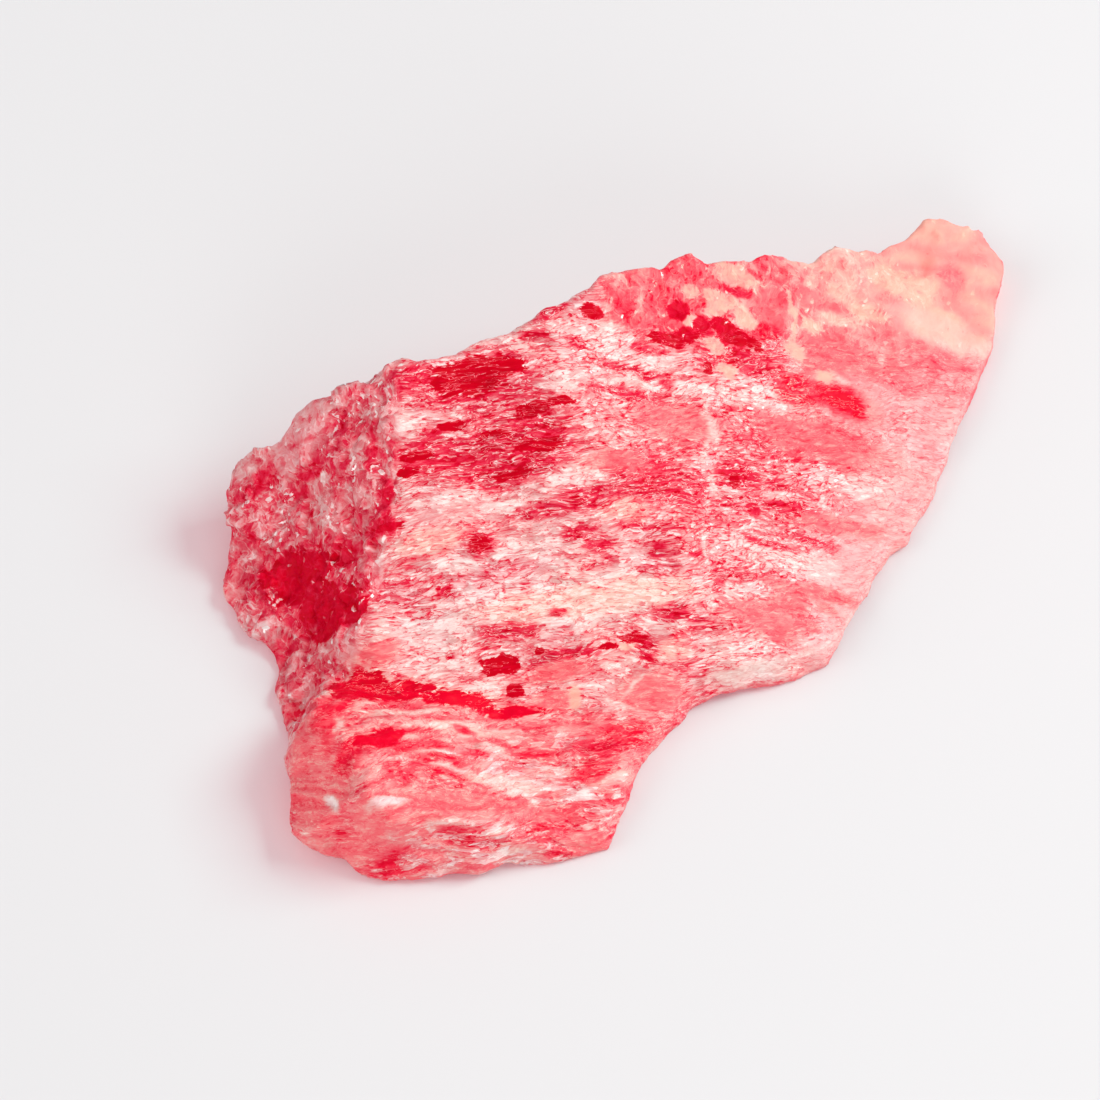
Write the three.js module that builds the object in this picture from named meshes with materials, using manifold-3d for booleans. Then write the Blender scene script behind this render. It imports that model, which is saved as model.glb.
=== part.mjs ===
// Rough rhodonite: one loose chip of translucent pink-red stone, broken and not worked, lying on its
// flattest side. Millimetres, +Z up, with the origin under the middle of the chip, at the surface it lies on.
//
// The chip formed as one piece, so it is one solid. Tilted broken faces make its top, which is thickest along
// the back and thins to the right and the front. A lobe stands at the front left, behind a trough. The solid
// is what three rough blocks have in common: all that lies under the top, all that lies inside the rim, and
// all that lies over the underside.
import * as THREE from "three";
import Module from "manifold-3d";
import { ImprovedNoise } from "three/addons/math/ImprovedNoise.js";
import { mergeVertices } from "three/addons/utils/BufferGeometryUtils.js";

// ---- driving dimensions, in millimetres and millimetres per millimetre of slope

// Each broken face is a tilted plane: its height over the origin, and how much it rises for each millimetre
// to the right and to the back.
const FACES = {
  main: { height: 4.14, right: 0, back: 0.54 }, // the broad silky face, tilted to the front
  right: { height: 4.37, right: -0.44, back: 0.182 }, // falls away to the thin right edge and the tip
  shoulder: { height: 5.6, right: 0.01, back: 0.03 }, // the nearly level crest along the back
  left: { height: 8.77, right: 0.66, back: 0.474 }, // the glassy, hackly end
  foot: { height: 0.5, right: 0, back: 0.1 }, // the ledge at the bottom of that end
  apron: { height: 0.92, right: -0.03, back: 0.02 }, // the thin sheet along the front right
  lobeTop: { height: -1.55, right: -0.401, back: -0.173 },
  lobeBack: { height: -2.1, right: -0.05, back: -0.55 }, // rises from the trough behind the lobe
  lobeLeft: { height: 18.5, right: 2.73, back: -1.24 }, // the steep left wall of the lobe
  lobeEnd: { height: 12.4, right: 0.9, back: 0.25 }, // bevels the lobe's left end
};
const EDGE_ROUND = 0.22; // how far the meeting of two faces is softened

// The rim, clockwise from the left corner. Below the height in `widest` a stretch goes out by `under` for
// each millimetre down, or in where `under` is negative, and above that height it goes in by `over` for
// each millimetre up. `rough` is the depth of its chips.
const RIM = [
  {
    name: "corner lumps, undercut",
    widest: 2.7, under: -0.35, over: 0.25, rough: 0.52,
    points: [[-12.0, 1.4], [-11.5, 2.2], [-10.0, 2.4], [-9.4, 2.95]],
  },
  {
    name: "back, hackly",
    widest: 5.4, under: 0.2, over: 0.1, rough: 0.52,
    points: [
      [-8.0, 2.95], [-6.5, 3.2], [-4.5, 3.75], [-2.8, 4.7], [-1.8, 5.5], [-0.4, 6.5],
    ],
  },
  {
    name: "back, knobs over the shoulder",
    widest: 4.0, under: 0.15, over: 0.1, rough: 0.42,
    points: [[1.3, 7.35], [2.3, 8.0], [3.7, 7.95], [5.2, 8.7], [6.1, 8.85], [7.1, 9.3]],
  },
  {
    name: "tip",
    widest: 1.7, under: -0.1, over: 0.2, rough: 0.36,
    points: [[8.5, 10.3], [9.5, 11.3], [10.4, 11.1], [11.2, 11.25], [11.9, 10.6]],
  },
  {
    name: "short end of the tip",
    widest: 1.0, under: -0.1, over: 0.2, rough: 0.31,
    points: [[11.75, 9.5], [11.7, 8.5]],
  },
  {
    name: "right cleavage, upper",
    widest: 0, under: 0, over: 0.25, rough: 0.13,
    points: [[11.4, 7.2], [10.45, 4.4], [8.95, 0.5]],
  },
  {
    name: "right cleavage, lower",
    widest: 0, under: 0, over: 0.3, rough: 0.1,
    points: [[8.4, 0.1], [7.7, -1.6], [6.5, -3.9]],
  },
  {
    name: "front right, thin",
    widest: 0.2, under: -0.1, over: 0.2, rough: 0.26,
    points: [[4.5, -4.7], [2.6, -5.4]],
  },
  {
    name: "notch",
    widest: 0.1, under: 0, over: 0.3, rough: 0.21,
    points: [[2.3, -5.6], [0.8, -7.6]],
  },
  {
    name: "lobe, right cleavage",
    widest: 0, under: 0, over: 0.35, rough: 0.13,
    points: [[0.75, -8.3], [-0.1, -10.5]],
  },
  {
    name: "lobe, front",
    widest: 0, under: 0, over: 0.32, rough: 0.31,
    points: [[-1.6, -10.85], [-3.4, -11.5], [-6.7, -11.75], [-8.0, -11.3]],
  },
  {
    name: "lobe, left end",
    widest: 1.2, under: -0.3, over: 0.35, rough: 0.31,
    points: [[-9.2, -10.8], [-9.7, -10.1], [-9.75, -9.15], [-9.7, -8.7]],
  },
  {
    name: "foot of the left end",
    widest: 0.4, under: -0.3, over: 0.3, rough: 0.42,
    points: [[-9.9, -5.3], [-10.6, -3.2], [-11.75, -1.7]],
  },
  {
    name: "left corner, undercut",
    widest: 1.4, under: -0.4, over: 0.3, rough: 0.47,
    points: [[-11.75, -0.5], [-11.75, 0.25], [-11.6, 0.9]],
  },
];

const RIM_STEP = 0.5; // between points along the rim
const RIM_LAYER = 0.5; // between rings up the rim
const TOP_CELL = 0.42; // between points over the top
const UNDER_CELL = 0.9; // between points over the underside
const CELL_NUDGE = 0.5; // how far a point may stray, in cells
const FLOOR_MARGIN = 0.7; // how far the blocks reach below the underside
const BLOCK_TOP = 7.4; // over the highest crest
const BLOCK_SIDE = 27; // wider than the chip either way

const WARP = { reach: 0.5, span: 2.6 }; // how far the faces' edges wander
const LEDGE = { rise: 0.3, spacing: 1.35, wander: 1.6 }; // splintery steps along the grain
const FOLD = { rise: 0.12, spacing: 0.9 }; // the lobe's parallel folds
const HACKLE = { rise: 0.6, span: 1.5 }; // glassy lumps on the left end
const KNOB = { rise: 0.45, span: 1.3 }; // lumps along the shoulder
const CHIP_SPAN = 1.5; // from one chip in the rim to the next
const SLIP = { x: 2.7, lean: 0.12, drop: 0.2, width: 0.35 }; // what lies right of this line sits lower
const REST = { radius: 3, edge: 2 }; // the level pad that it lies on, and the width of the pad's edge
const PIT = { rise: 0.2, span: 3.2, steps: 3 }; // shallow flakes out of the rest of the underside
const GRAIN = { sway: 1.1, swayLength: 33, level: -9, ripple: 0.25, rippleLength: 11.4 }; // how it wanders

// ---- noise: smooth numbers from about -1 to 1 that are the same on every run

// Each kind of relief reads a slice of the noise of its own.
const SLICE = {
  warpX: 21.5, warpY: 33.5, splinter: 1.5, strength: 5.5, fold: 9.5, hackle: 7.5, knob: 3.5,
  pit: 11.5, chip: 20, nudgeX: 50.5, nudgeY: 60.5,
};
const perlin = new ImprovedNoise();

function lumps(x, y, z, octaves) {
  let sum = 0;
  let size = 1;
  for (let octave = 0; octave < octaves; octave++) {
    const scale = 2 ** octave;
    sum += size * perlin.noise(x * scale + 17.3 * octave, y * scale - 9.1 * octave, z * scale + 4.7);
    size *= 0.5;
  }
  return sum;
}

function smoothstep(from, to, x) {
  const t = Math.min(1, Math.max(0, (x - from) / (to - from)));
  return t * t * (3 - 2 * t);
}

// Treads with short risers between them, one for each whole number.
function terraces(x) {
  const tread = Math.floor(x);
  return tread + smoothstep(0.72, 1, x - tread);
}

function softMin(a, b) {
  const share = Math.max(0, 1 - Math.abs(a - b) / EDGE_ROUND);
  return Math.min(a, b) - (EDGE_ROUND * share * share) / 4;
}

const softMax = (a, b) => -softMin(-a, -b);
const heightOn = (face, x, y) => face.height + face.right * x + face.back * y;

// ---- the top

// How far across the grain a place is. The grain rises a little to the right on the left half of the chip,
// and falls again on the right half.
function acrossGrain(x, y) {
  const sway = GRAIN.sway * Math.sin((2 * Math.PI * (x - GRAIN.level)) / GRAIN.swayLength);
  const ripple = GRAIN.ripple * Math.sin((2 * Math.PI * (x + y / 2)) / GRAIN.rippleLength);
  return y - sway - ripple;
}

// Each splinter rises gently across the grain and breaks off in a step, here and there.
function ledges(x, y) {
  const across = acrossGrain(x, y) / LEDGE.spacing;
  const splinter = across + LEDGE.wander * lumps(x / 6, across / 2.5, SLICE.splinter, 2);
  const strength = smoothstep(-0.35, 0.25, lumps(x / 3.5, y / 2.2, SLICE.strength, 1));
  return LEDGE.rise * strength * (splinter - terraces(splinter));
}

function folds(x, y) {
  const across = (y - 0.12 * x) / FOLD.spacing + 0.9 * lumps(x / 3, y / 2, SLICE.fold, 2);
  return FOLD.rise * Math.sin(2 * Math.PI * across);
}

function topHeight(x, y) {
  const warpedX = x + WARP.reach * lumps(x / WARP.span, y / WARP.span, SLICE.warpX, 2);
  const warpedY = y + WARP.reach * lumps(x / WARP.span, y / WARP.span, SLICE.warpY, 2);
  const on = (name) => heightOn(FACES[name], warpedX, warpedY);
  const main = softMin(softMin(on("main"), on("right")), on("shoulder"));
  const sheet = softMax(main, on("apron"));
  const end = softMax(on("left"), on("foot"));
  const lobe = softMin(softMin(on("lobeTop"), on("lobeBack")), softMin(on("lobeLeft"), on("lobeEnd")));
  const onLobe = smoothstep(-0.3, 0.3, lobe - Math.min(sheet, end));
  const onEnd = (1 - onLobe) * smoothstep(-0.4, 0.6, sheet - end);
  const onShoulder = (1 - onLobe) * (1 - onEnd) * smoothstep(4.5, 6.5, y - 0.3 * x);
  const onSilky = 1 - onLobe - onEnd - onShoulder;
  const relief =
    onSilky * ledges(x, y) +
    onLobe * folds(x, y) +
    onEnd * HACKLE.rise * lumps(x / HACKLE.span, y / HACKLE.span, SLICE.hackle, 2) +
    onShoulder * KNOB.rise * lumps(x / KNOB.span, y / KNOB.span, SLICE.knob, 2);
  const slip = SLIP.drop * smoothstep(-SLIP.width / 2, SLIP.width / 2, x - SLIP.x - SLIP.lean * y);
  return softMax(softMin(sheet, end), lobe) + relief - slip * onSilky;
}

// ---- the underside

function underHeight(x, y) {
  const flakes = terraces(PIT.steps * lumps(x / PIT.span, y / PIT.span, SLICE.pit, 2));
  const away = smoothstep(REST.radius, REST.radius + REST.edge, Math.hypot(x, y));
  return away * PIT.rise * Math.max(0, flakes);
}

// ---- the rim

// Points along the rim, each with its stretch's numbers eased into the next stretch's.
function rimPoints() {
  const corners = RIM.flatMap((stretch) => stretch.points.map(([x, y]) => ({ ...stretch, x, y })));
  const made = [];
  corners.forEach((from, i) => {
    const to = corners[(i + 1) % corners.length];
    const steps = Math.ceil(Math.hypot(to.x - from.x, to.y - from.y) / RIM_STEP);
    for (let step = 0; step < steps; step++) {
      const point = {};
      for (const key of ["x", "y", "widest", "under", "over", "rough"]) {
        point[key] = THREE.MathUtils.lerp(from[key], to[key], step / steps);
      }
      made.push(point);
    }
  });
  made.forEach((point, i) => {
    const before = made.at(i - 2);
    const after = made[(i + 2) % made.length];
    const length = Math.hypot(after.x - before.x, after.y - before.y);
    point.outX = -(after.y - before.y) / length;
    point.outY = (after.x - before.x) / length;
  });
  return made;
}

function rimBlock() {
  const rim = rimPoints();
  const layers = Math.round((BLOCK_TOP + FLOOR_MARGIN) / RIM_LAYER);
  const heights = Array.from({ length: layers + 1 }, (_, i) => -FLOOR_MARGIN + i * RIM_LAYER);
  const profile = [
    new THREE.Vector2(0, heights[0]),
    ...heights.map((height) => new THREE.Vector2(1, height)),
    new THREE.Vector2(0, heights.at(-1)),
  ];
  const lathe = new THREE.LatheGeometry(profile, rim.length);
  const position = lathe.getAttribute("position");
  for (let i = 0; i < position.count; i++) {
    const onProfile = i % profile.length;
    const z = profile[onProfile].y;
    if (onProfile === 0 || onProfile === profile.length - 1) {
      position.setXYZ(i, 0, 0, z);
      continue;
    }
    const p = rim[(rim.length - Math.floor(i / profile.length)) % rim.length];
    const slope = z < p.widest ? p.under : -p.over;
    const chips = p.rough * lumps(p.x / CHIP_SPAN, p.y / CHIP_SPAN, z / CHIP_SPAN + SLICE.chip, 2);
    const out = Math.abs(z - p.widest) * slope + chips;
    position.setXYZ(i, p.x + p.outX * out, p.y + p.outY * out, z);
  }
  return lathe;
}

// ---- solids

// A box with many cells, whose upper or lower side is lifted to a height for each place. The cells' corners
// are nudged off their rows, so that no edge of a cell runs on through the next.
function reliefBlock(cell, low, high, upper, height) {
  const cells = Math.round(BLOCK_SIDE / cell);
  const box = new THREE.BoxGeometry(BLOCK_SIDE, BLOCK_SIDE, high - low, cells, cells, 1);
  box.translate(0, 0, (high + low) / 2);
  const position = box.getAttribute("position");
  for (let i = 0; i < position.count; i++) {
    const isUpper = position.getZ(i) > (high + low) / 2;
    if (isUpper !== upper) continue;
    const row = position.getX(i);
    const column = position.getY(i);
    const x = row + CELL_NUDGE * cell * perlin.noise(row * 3.7, column * 3.7, SLICE.nudgeX);
    const y = column + CELL_NUDGE * cell * perlin.noise(row * 3.7, column * 3.7, SLICE.nudgeY);
    position.setXYZ(i, x, y, height(x, y));
  }
  return box;
}

const wasm = await Module();
wasm.setup();

function solidFrom(geometry) {
  geometry.deleteAttribute("normal");
  geometry.deleteAttribute("uv");
  const merged = mergeVertices(geometry, 1e-4);
  const mesh = new wasm.Mesh({
    numProp: 3,
    vertProperties: merged.getAttribute("position").array,
    triVerts: new Uint32Array(merged.index.array),
  });
  return new wasm.Manifold(mesh);
}

function geometryFrom(solid) {
  const { vertProperties, triVerts } = solid.getMesh();
  const geometry = new THREE.BufferGeometry();
  geometry.setAttribute("position", new THREE.BufferAttribute(vertProperties, 3));
  geometry.setIndex(new THREE.BufferAttribute(triVerts, 1));
  return geometry;
}

const underTheTop = solidFrom(reliefBlock(TOP_CELL, -FLOOR_MARGIN, BLOCK_TOP, true, topHeight));
const overTheUnderside = solidFrom(reliefBlock(UNDER_CELL, -FLOOR_MARGIN, BLOCK_TOP, false, underHeight));
const insideTheRim = solidFrom(rimBlock());
const chip = insideTheRim.intersect(underTheTop).intersect(overTheUnderside);

const chipGeometry = geometryFrom(chip);
chipGeometry.computeBoundingBox();
const middle = chipGeometry.boundingBox.getCenter(new THREE.Vector3());
chipGeometry.translate(-middle.x, -middle.y, -chipGeometry.boundingBox.min.z);
chipGeometry.computeVertexNormals();

const rhodonite = new THREE.MeshStandardMaterial({ color: 0xe0506a, roughness: 0.35, metalness: 0 });
const stone = new THREE.Mesh(chipGeometry, rhodonite);
stone.name = "rhodonite";

const part = new THREE.Group();
part.add(stone);

export default part;
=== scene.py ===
# %% [markdown]
# # Rough rhodonite
# A loose chip of pink-red stone, 24 mm long, that was broken and never worked. It is translucent: the body
# of the stone is deep red glass, and a white veil of tiny cleavage flakes lies over most of it. This lesson
# dresses the plain solid of the chip with that relief and that finish. All sizes are in millimetres until
# the last step, because the stone is easier to think about that way.

import math

import bmesh
import bpy
import numpy as np
from mathutils import Matrix, Vector


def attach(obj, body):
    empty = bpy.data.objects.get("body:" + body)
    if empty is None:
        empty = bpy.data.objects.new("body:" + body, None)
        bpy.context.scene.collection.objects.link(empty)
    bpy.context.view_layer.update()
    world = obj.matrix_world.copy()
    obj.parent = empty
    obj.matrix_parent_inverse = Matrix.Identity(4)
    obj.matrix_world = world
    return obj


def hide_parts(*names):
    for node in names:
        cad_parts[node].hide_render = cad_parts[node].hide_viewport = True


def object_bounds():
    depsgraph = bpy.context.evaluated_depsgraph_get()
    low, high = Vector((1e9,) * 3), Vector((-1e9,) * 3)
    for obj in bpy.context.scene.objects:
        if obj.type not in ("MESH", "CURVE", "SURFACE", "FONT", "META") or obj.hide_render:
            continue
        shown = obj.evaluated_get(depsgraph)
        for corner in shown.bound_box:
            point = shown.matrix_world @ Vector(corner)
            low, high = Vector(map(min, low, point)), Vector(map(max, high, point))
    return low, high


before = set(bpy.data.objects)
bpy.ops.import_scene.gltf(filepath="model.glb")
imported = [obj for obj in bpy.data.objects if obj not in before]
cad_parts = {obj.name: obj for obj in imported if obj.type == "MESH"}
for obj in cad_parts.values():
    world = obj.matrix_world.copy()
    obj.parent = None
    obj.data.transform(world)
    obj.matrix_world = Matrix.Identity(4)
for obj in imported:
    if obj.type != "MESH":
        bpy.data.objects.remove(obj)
cad_low, cad_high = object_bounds()
MM = 0.001
print("the solid is", [round(side / MM, 2) for side in cad_high - cad_low], "mm")

# %% [markdown]
# ## The chip as a fine mesh
# The solid is made of a few thousand flat triangles, which would show as facets of the wrong size. A voxel
# remesh lays an even net of small squares over it, fine enough to carry splinters, and a little smoothing
# melts the old triangles. It could be sculpted by hand instead, but a net that is made by rule can be made
# again at another size.

# %% A working copy, in millimetres
NET = 0.105  # between two points of the net
MELT_STEPS = 16


def working_copy(solid):
    shape = bmesh.new()
    shape.from_mesh(solid.data)
    bmesh.ops.transform(shape, matrix=Matrix.Scale(1 / MM, 4), verts=shape.verts)
    bmesh.ops.remove_doubles(shape, verts=shape.verts, dist=0.001)
    bmesh.ops.recalc_face_normals(shape, faces=shape.faces)
    mesh = bpy.data.meshes.new("chip")
    shape.to_mesh(mesh)
    shape.free()
    chip = bpy.data.objects.new("rhodonite_chip", mesh)
    bpy.context.scene.collection.objects.link(chip)
    return chip


def with_modifiers_applied(thing):
    shape = thing.evaluated_get(bpy.context.evaluated_depsgraph_get())
    mesh = bpy.data.meshes.new_from_object(shape)
    thing.modifiers.clear()
    thing.data = mesh
    return thing


chip = working_copy(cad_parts["rhodonite"])
remesh = chip.modifiers.new("even net", "REMESH")
remesh.mode = "VOXEL"
remesh.voxel_size = NET
melt = chip.modifiers.new("melt the old triangles", "SMOOTH")
melt.factor = 0.5
melt.iterations = MELT_STEPS
with_modifiers_applied(chip)
print("the net has", len(chip.data.vertices), "points and", len(chip.data.polygons), "squares")

# %% [markdown]
# ## Where is what
# A stone has regions: the silky face that follows the grain, the glassy and hackly end, the granular
# shoulder, the tip and the folded lobe. Each is a share from 0 to 1 for every point of the net, with soft
# edges. They could be painted on by hand, but a share that is worked out from a point's place and direction
# fits any net. They are kept on the mesh as attributes, which the relief and the finish both read.

# %% Points, directions and soft steps
count = len(chip.data.vertices)
points = np.empty(count * 3)
chip.data.vertices.foreach_get("co", points)
points = points.reshape(-1, 3)
outward = np.empty(count * 3)
chip.data.vertices.foreach_get("normal", outward)
outward = outward.reshape(-1, 3)
x, y, z = points.T


def soft_step(low, high, value):
    t = np.clip((value - low) / (high - low), 0, 1)
    return t * t * (3 - 2 * t)


print("the chip reaches up to", round(float(z.max()), 2), "mm")

# %% [markdown]
# Regions and marks need edges that wander, as in a real stone, so some gentle noise moves each point a
# little before it is looked up. Perlin noise is short to write: every corner of a grid has a random slope,
# and the eight corners round a point are blended. The slopes come from a seeded table, so that each run
# gives the same stone. Its size is the width of one waver, and another slice is another noise.

# %% Gentle noise
SEED = 7
rng = np.random.default_rng(SEED)
shuffled = np.tile(rng.permutation(256), 3)
slopes = rng.normal(size=(256, 3))
slopes /= np.linalg.norm(slopes, axis=1, keepdims=True)


def wander(places, size, slice_=0.0, octaves=2):
    total = np.zeros(len(places))
    for octave in range(octaves):
        spot = places * (2**octave / size) + slice_ + 11.3 * octave
        cell = np.floor(spot).astype(int)
        inside = spot - cell
        ease = inside**3 * (inside * (inside * 6 - 15) + 10)
        value = np.zeros(len(places))
        for corner in np.ndindex(2, 2, 2):
            at = (cell + corner) & 255
            slope = slopes[shuffled[shuffled[shuffled[at[:, 0]] + at[:, 1]] + at[:, 2]]]
            weight = np.prod(np.where(corner, ease, 1 - ease), axis=1)
            value += weight * np.sum(slope * (inside - corner), axis=1)
        total += value * 0.5**octave
    return total


drift_x = 0.35 * wander(points, 1.2, 3.1) + 0.25 * wander(points, 0.45, 8.2)
drift_y = 0.3 * wander(points, 1.1, 5.7) + 0.2 * wander(points, 0.35, 1.9)
print("points drift by up to", round(float(np.abs(drift_x).max()), 2), "mm")

# %% Regions
# The ridge between the glassy end and the silky face: how far back each point is, and how far right.
RIDGE = [(-8.6, -9.7), (-7.2, -9.0), (-5.9, -8.4), (-4.1, -7.9), (-2.5, -6.9), (1.0, -6.5), (3.5, -6.6)]
# The trough behind the lobe: how far right each point is, and how far back.
TROUGH = [(-10.0, -5.4), (-8.1, -5.6), (-1.7, -6.1), (1.0, -5.9)]
SHOULDER = {"right": 2, "back": 5.4, "lean": 0.25}  # a point on its front edge, and how that edge leans
END_LUMP = {"right": -9.5, "back": 2.4}  # the calm lump at the left corner

ridge_x = np.interp(y, *zip(*RIDGE))
trough_y = np.interp(x, *zip(*TROUGH))
shoulder_y = SHOULDER["back"] + SHOULDER["lean"] * (x - SHOULDER["right"])
up = soft_step(0.1, 0.5, outward[:, 2])
under = soft_step(-0.3, -0.7, outward[:, 2])
wall = (1 - up) * (1 - under)
lobe = soft_step(0.3, -0.3, y + drift_y - trough_y) * soft_step(-0.4, 0.2, x - ridge_x)
glassy = soft_step(0.25, -0.25, x + drift_x - ridge_x) * (1 - lobe)
shoulder = soft_step(-0.6, 0.6, y + 2 * drift_y - shoulder_y) * (1 - glassy) * soft_step(-1.2, 0.5, x)
tip = soft_step(7.0, 9.0, x + 2 * drift_x) * soft_step(4.5, 6.5, y)
shown = np.maximum(up, lobe * (1 - under))
end_lump = soft_step(1.3, 0.6, np.hypot(x - END_LUMP["right"], y - END_LUMP["back"]))
silky = (1 - lobe) * (1 - glassy) * (1 - shoulder) * (1 - 0.7 * tip)
cleaved = soft_step(2.0, 4.0, x - 0.45 * y) * soft_step(6.0, 4.0, y - x)
broken_wall = wall * (0.45 - 0.35 * cleaved)
for name, share in {"silky": silky, "glassy": glassy, "shoulder": shoulder, "lobe": lobe}.items():
    print(f"{name} covers {share.mean():.0%} of the chip")

# %% [markdown]
# ## The grain
# The splinters of the silky face run along the chip, rise a little to the right on its left half, and fall
# again on its right half. Every point gets a place in that grain: how far along, how far across and how
# deep. A texture that reads this place instead of the plain one bends with the grain.

# %% Grain places
SWAY = {"height": 1.1, "length": 44, "level": -7}  # one long wave along the chip, and where it is level
DIP = 0.7  # how far the grain moves across for each millimetre down
SHEAR = 0.2  # how far it moves along for each millimetre back

phase = 2 * np.pi * (x - SWAY["level"]) / SWAY["length"]
sway = SWAY["height"] * np.sin(phase)
grain = np.column_stack([x + SHEAR * y, y + DIP * z - sway, z])
grain += 0.35 * np.column_stack([wander(points, 3.0, 2.2), wander(points, 2.4, 6.6), np.zeros(count)])
ripple = [wander(grain * (0.8, 1.6, 1.3), 0.9, slice_) for slice_ in (2.7, 5.1, 8.8)]
flow = grain + np.column_stack(ripple) * (0.3, 0.13, 0.13)
crumple = [wander(points, 0.55, slice_) for slice_ in (1.4, 6.1, 9.4)]
crumpled = points + 0.22 * np.column_stack(crumple)
grain_turn = np.arctan(2 * np.pi / SWAY["length"] * SWAY["height"] * np.cos(phase))
print("across the grain the chip measures", round(float(np.ptp(grain[:, 1])), 1), "mm")
print("the grain turns by up to", round(math.degrees(np.abs(grain_turn).max()), 1), "degrees")

# %% [markdown]
# ## Marks
# Clear windows, red and coral patches, white veils and cream stains are what makes this chip this chip.
# Each is placed as a soft oval: how far right and back its middle is, half its length, half its width,
# and its turn in degrees from the grain. The drift from above makes their edges ragged. Marks could be
# painted on too, but ovals stay sharp at any size and can be moved one by one.

# %% Clear garnet windows
GARNET_WINDOWS = [
    (-4.4, 3.1, 1.35, 0.60, 0), (-3.3, 3.3, 0.70, 0.34, 0), (-2.5, 2.1, 0.55, 0.22, 0),
    (-1.7, 2.3, 0.50, 0.15, 0), (-0.7, 5.4, 0.36, 0.30, 0), (-2.3, 1.1, 0.75, 0.20, 0),
    (-3.1, 0.4, 0.60, 0.12, 0), (-3.6, 1.5, 0.50, 0.14, 0), (-4.9, 1.7, 0.50, 0.12, 0),
    (-5.9, 0.9, 0.50, 0.20, 0), (-6.2, 0.4, 0.40, 0.16, 0), (1.9, 6.2, 0.30, 0.40, 0),
    (2.6, 5.8, 0.24, 0.22, 0), (3.4, 5.8, 0.60, 0.27, -25), (1.5, 5.1, 0.60, 0.18, 0),
    (2.8, 4.5, 0.20, 0.20, 0), (3.3, 5.75, 0.50, 0.18, -20), (2.2, 5.4, 0.40, 0.26, 0),
    (4.1, 5.7, 0.45, 0.22, -30), (1.7, 5.15, 0.34, 0.18, 0), (3.6, 1.1, 0.18, 0.28, 0),
    (-2.3, -4.2, 0.15, 0.11, 0), (-3.4, -4.6, 0.66, 0.28, 0), (-3.0, -5.3, 0.30, 0.20, 0),
    (0.5, -3.9, 0.45, 0.14, 0), (-0.2, -4.2, 0.30, 0.12, 0), (-4.1, -1.5, 0.42, 0.26, 0),
    (-9.4, -1.5, 1.10, 0.75, -35), (-8.6, -2.6, 0.90, 0.62, -25), (-7.7, -3.1, 0.50, 0.28, 30),
    (-6.7, -1.0, 0.40, 0.12, 0), (-8.7, -3.3, 0.50, 0.45, 0), (-10.1, -1.2, 0.50, 0.35, 0),
]
print(len(GARNET_WINDOWS), "garnet windows")

# %% Red streaks and patches
# Small red streaks on the silky face, then the dull red round the windows and on the shoulder, the clear
# bright red behind the lobe, and the thin scarlet streaks of the lobe.
RED_PATCHES = [
    (-6.0, 3.1, 0.75, 0.38, 0), (-4.2, 2.9, 2.00, 0.80, 0), (-2.0, 5.2, 0.60, 0.19, 30),
    (-1.1, 4.3, 0.30, 0.23, 0), (-2.4, 4.5, 0.42, 0.20, 0), (-3.5, 0.9, 2.05, 0.85, 0),
    (-5.5, 1.0, 1.00, 0.60, 0), (-0.8, -0.1, 0.90, 0.19, 0), (-1.7, -0.5, 1.35, 0.21, 0),
    (-1.1, -1.2, 0.60, 0.19, 0), (-0.5, -1.5, 0.45, 0.16, 0), (-4.1, -1.5, 0.60, 0.36, 0),
    (-6.9, -1.0, 0.54, 0.30, 0), (3.2, 5.4, 0.80, 0.50, -20), (-2.9, 1.1, 1.70, 0.70, 0),
    (3.8, 7.4, 0.36, 0.18, 0), (4.6, 6.1, 0.36, 0.34, 0), (3.5, 7.4, 0.36, 0.26, 0),
    (2.7, 4.75, 0.36, 0.34, 0), (4.2, 5.0, 0.75, 0.29, 0), (-7.15, 0.8, 0.16, 1.10, 0),
    (-7.0, -0.3, 0.20, 0.50, 0), (0.3, 3.0, 1.05, 0.19, 0), (1.5, 3.7, 0.21, 0.13, 0),
    (1.0, 3.8, 0.21, 0.14, 0), (1.3, 0.5, 1.50, 0.81, 0), (3.65, 1.45, 0.42, 0.42, 0),
    (4.9, 1.3, 0.36, 0.14, 0), (5.5, 0.8, 0.75, 0.15, 0), (4.2, 0.6, 0.45, 0.21, 0),
    (-5.0, -2.7, 0.42, 0.15, -30), (-1.7, -3.3, 0.36, 0.13, 0), (-3.6, -3.8, 0.54, 0.16, 0),
    (-2.9, -3.7, 0.60, 0.23, 0), (-1.5, -4.4, 1.05, 0.16, 0), (-4.9, -4.4, 0.14, 0.10, 0),
    (-6.5, -5.0, 0.14, 0.13, 0), (3.4, 0.3, 0.48, 0.17, 0), (4.1, 0.4, 0.24, 0.34, 0),
    (5.1, 0.7, 0.60, 0.20, 0), (1.0, -0.9, 0.90, 0.13, 0), (1.3, -1.5, 0.30, 0.23, 0),
    (2.5, -1.6, 0.36, 0.13, 0), (4.6, -0.5, 0.75, 0.12, 0), (6.0, -0.1, 0.60, 0.16, 0),
    (3.7, 1.2, 0.75, 0.30, 0), (0.5, 3.9, 1.00, 0.16, 0), (0.9, 4.7, 0.70, 0.14, 0),
    (3.4, -1.8, 0.30, 0.09, 0), (3.0, -2.3, 0.24, 0.26, 0), (1.6, -3.2, 0.54, 0.26, 0),
    (2.2, -3.4, 0.75, 0.14, 0), (0.9, -4.2, 0.30, 0.39, 0), (-9.3, -1.6, 1.60, 1.15, -30),
    (-8.3, -2.8, 1.10, 0.75, -20), (-10.4, 1.4, 0.36, 0.32, 0), (-9.1, 1.2, 0.39, 0.22, 0),
    (-9.3, 2.0, 0.40, 0.10, 0),
]
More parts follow.
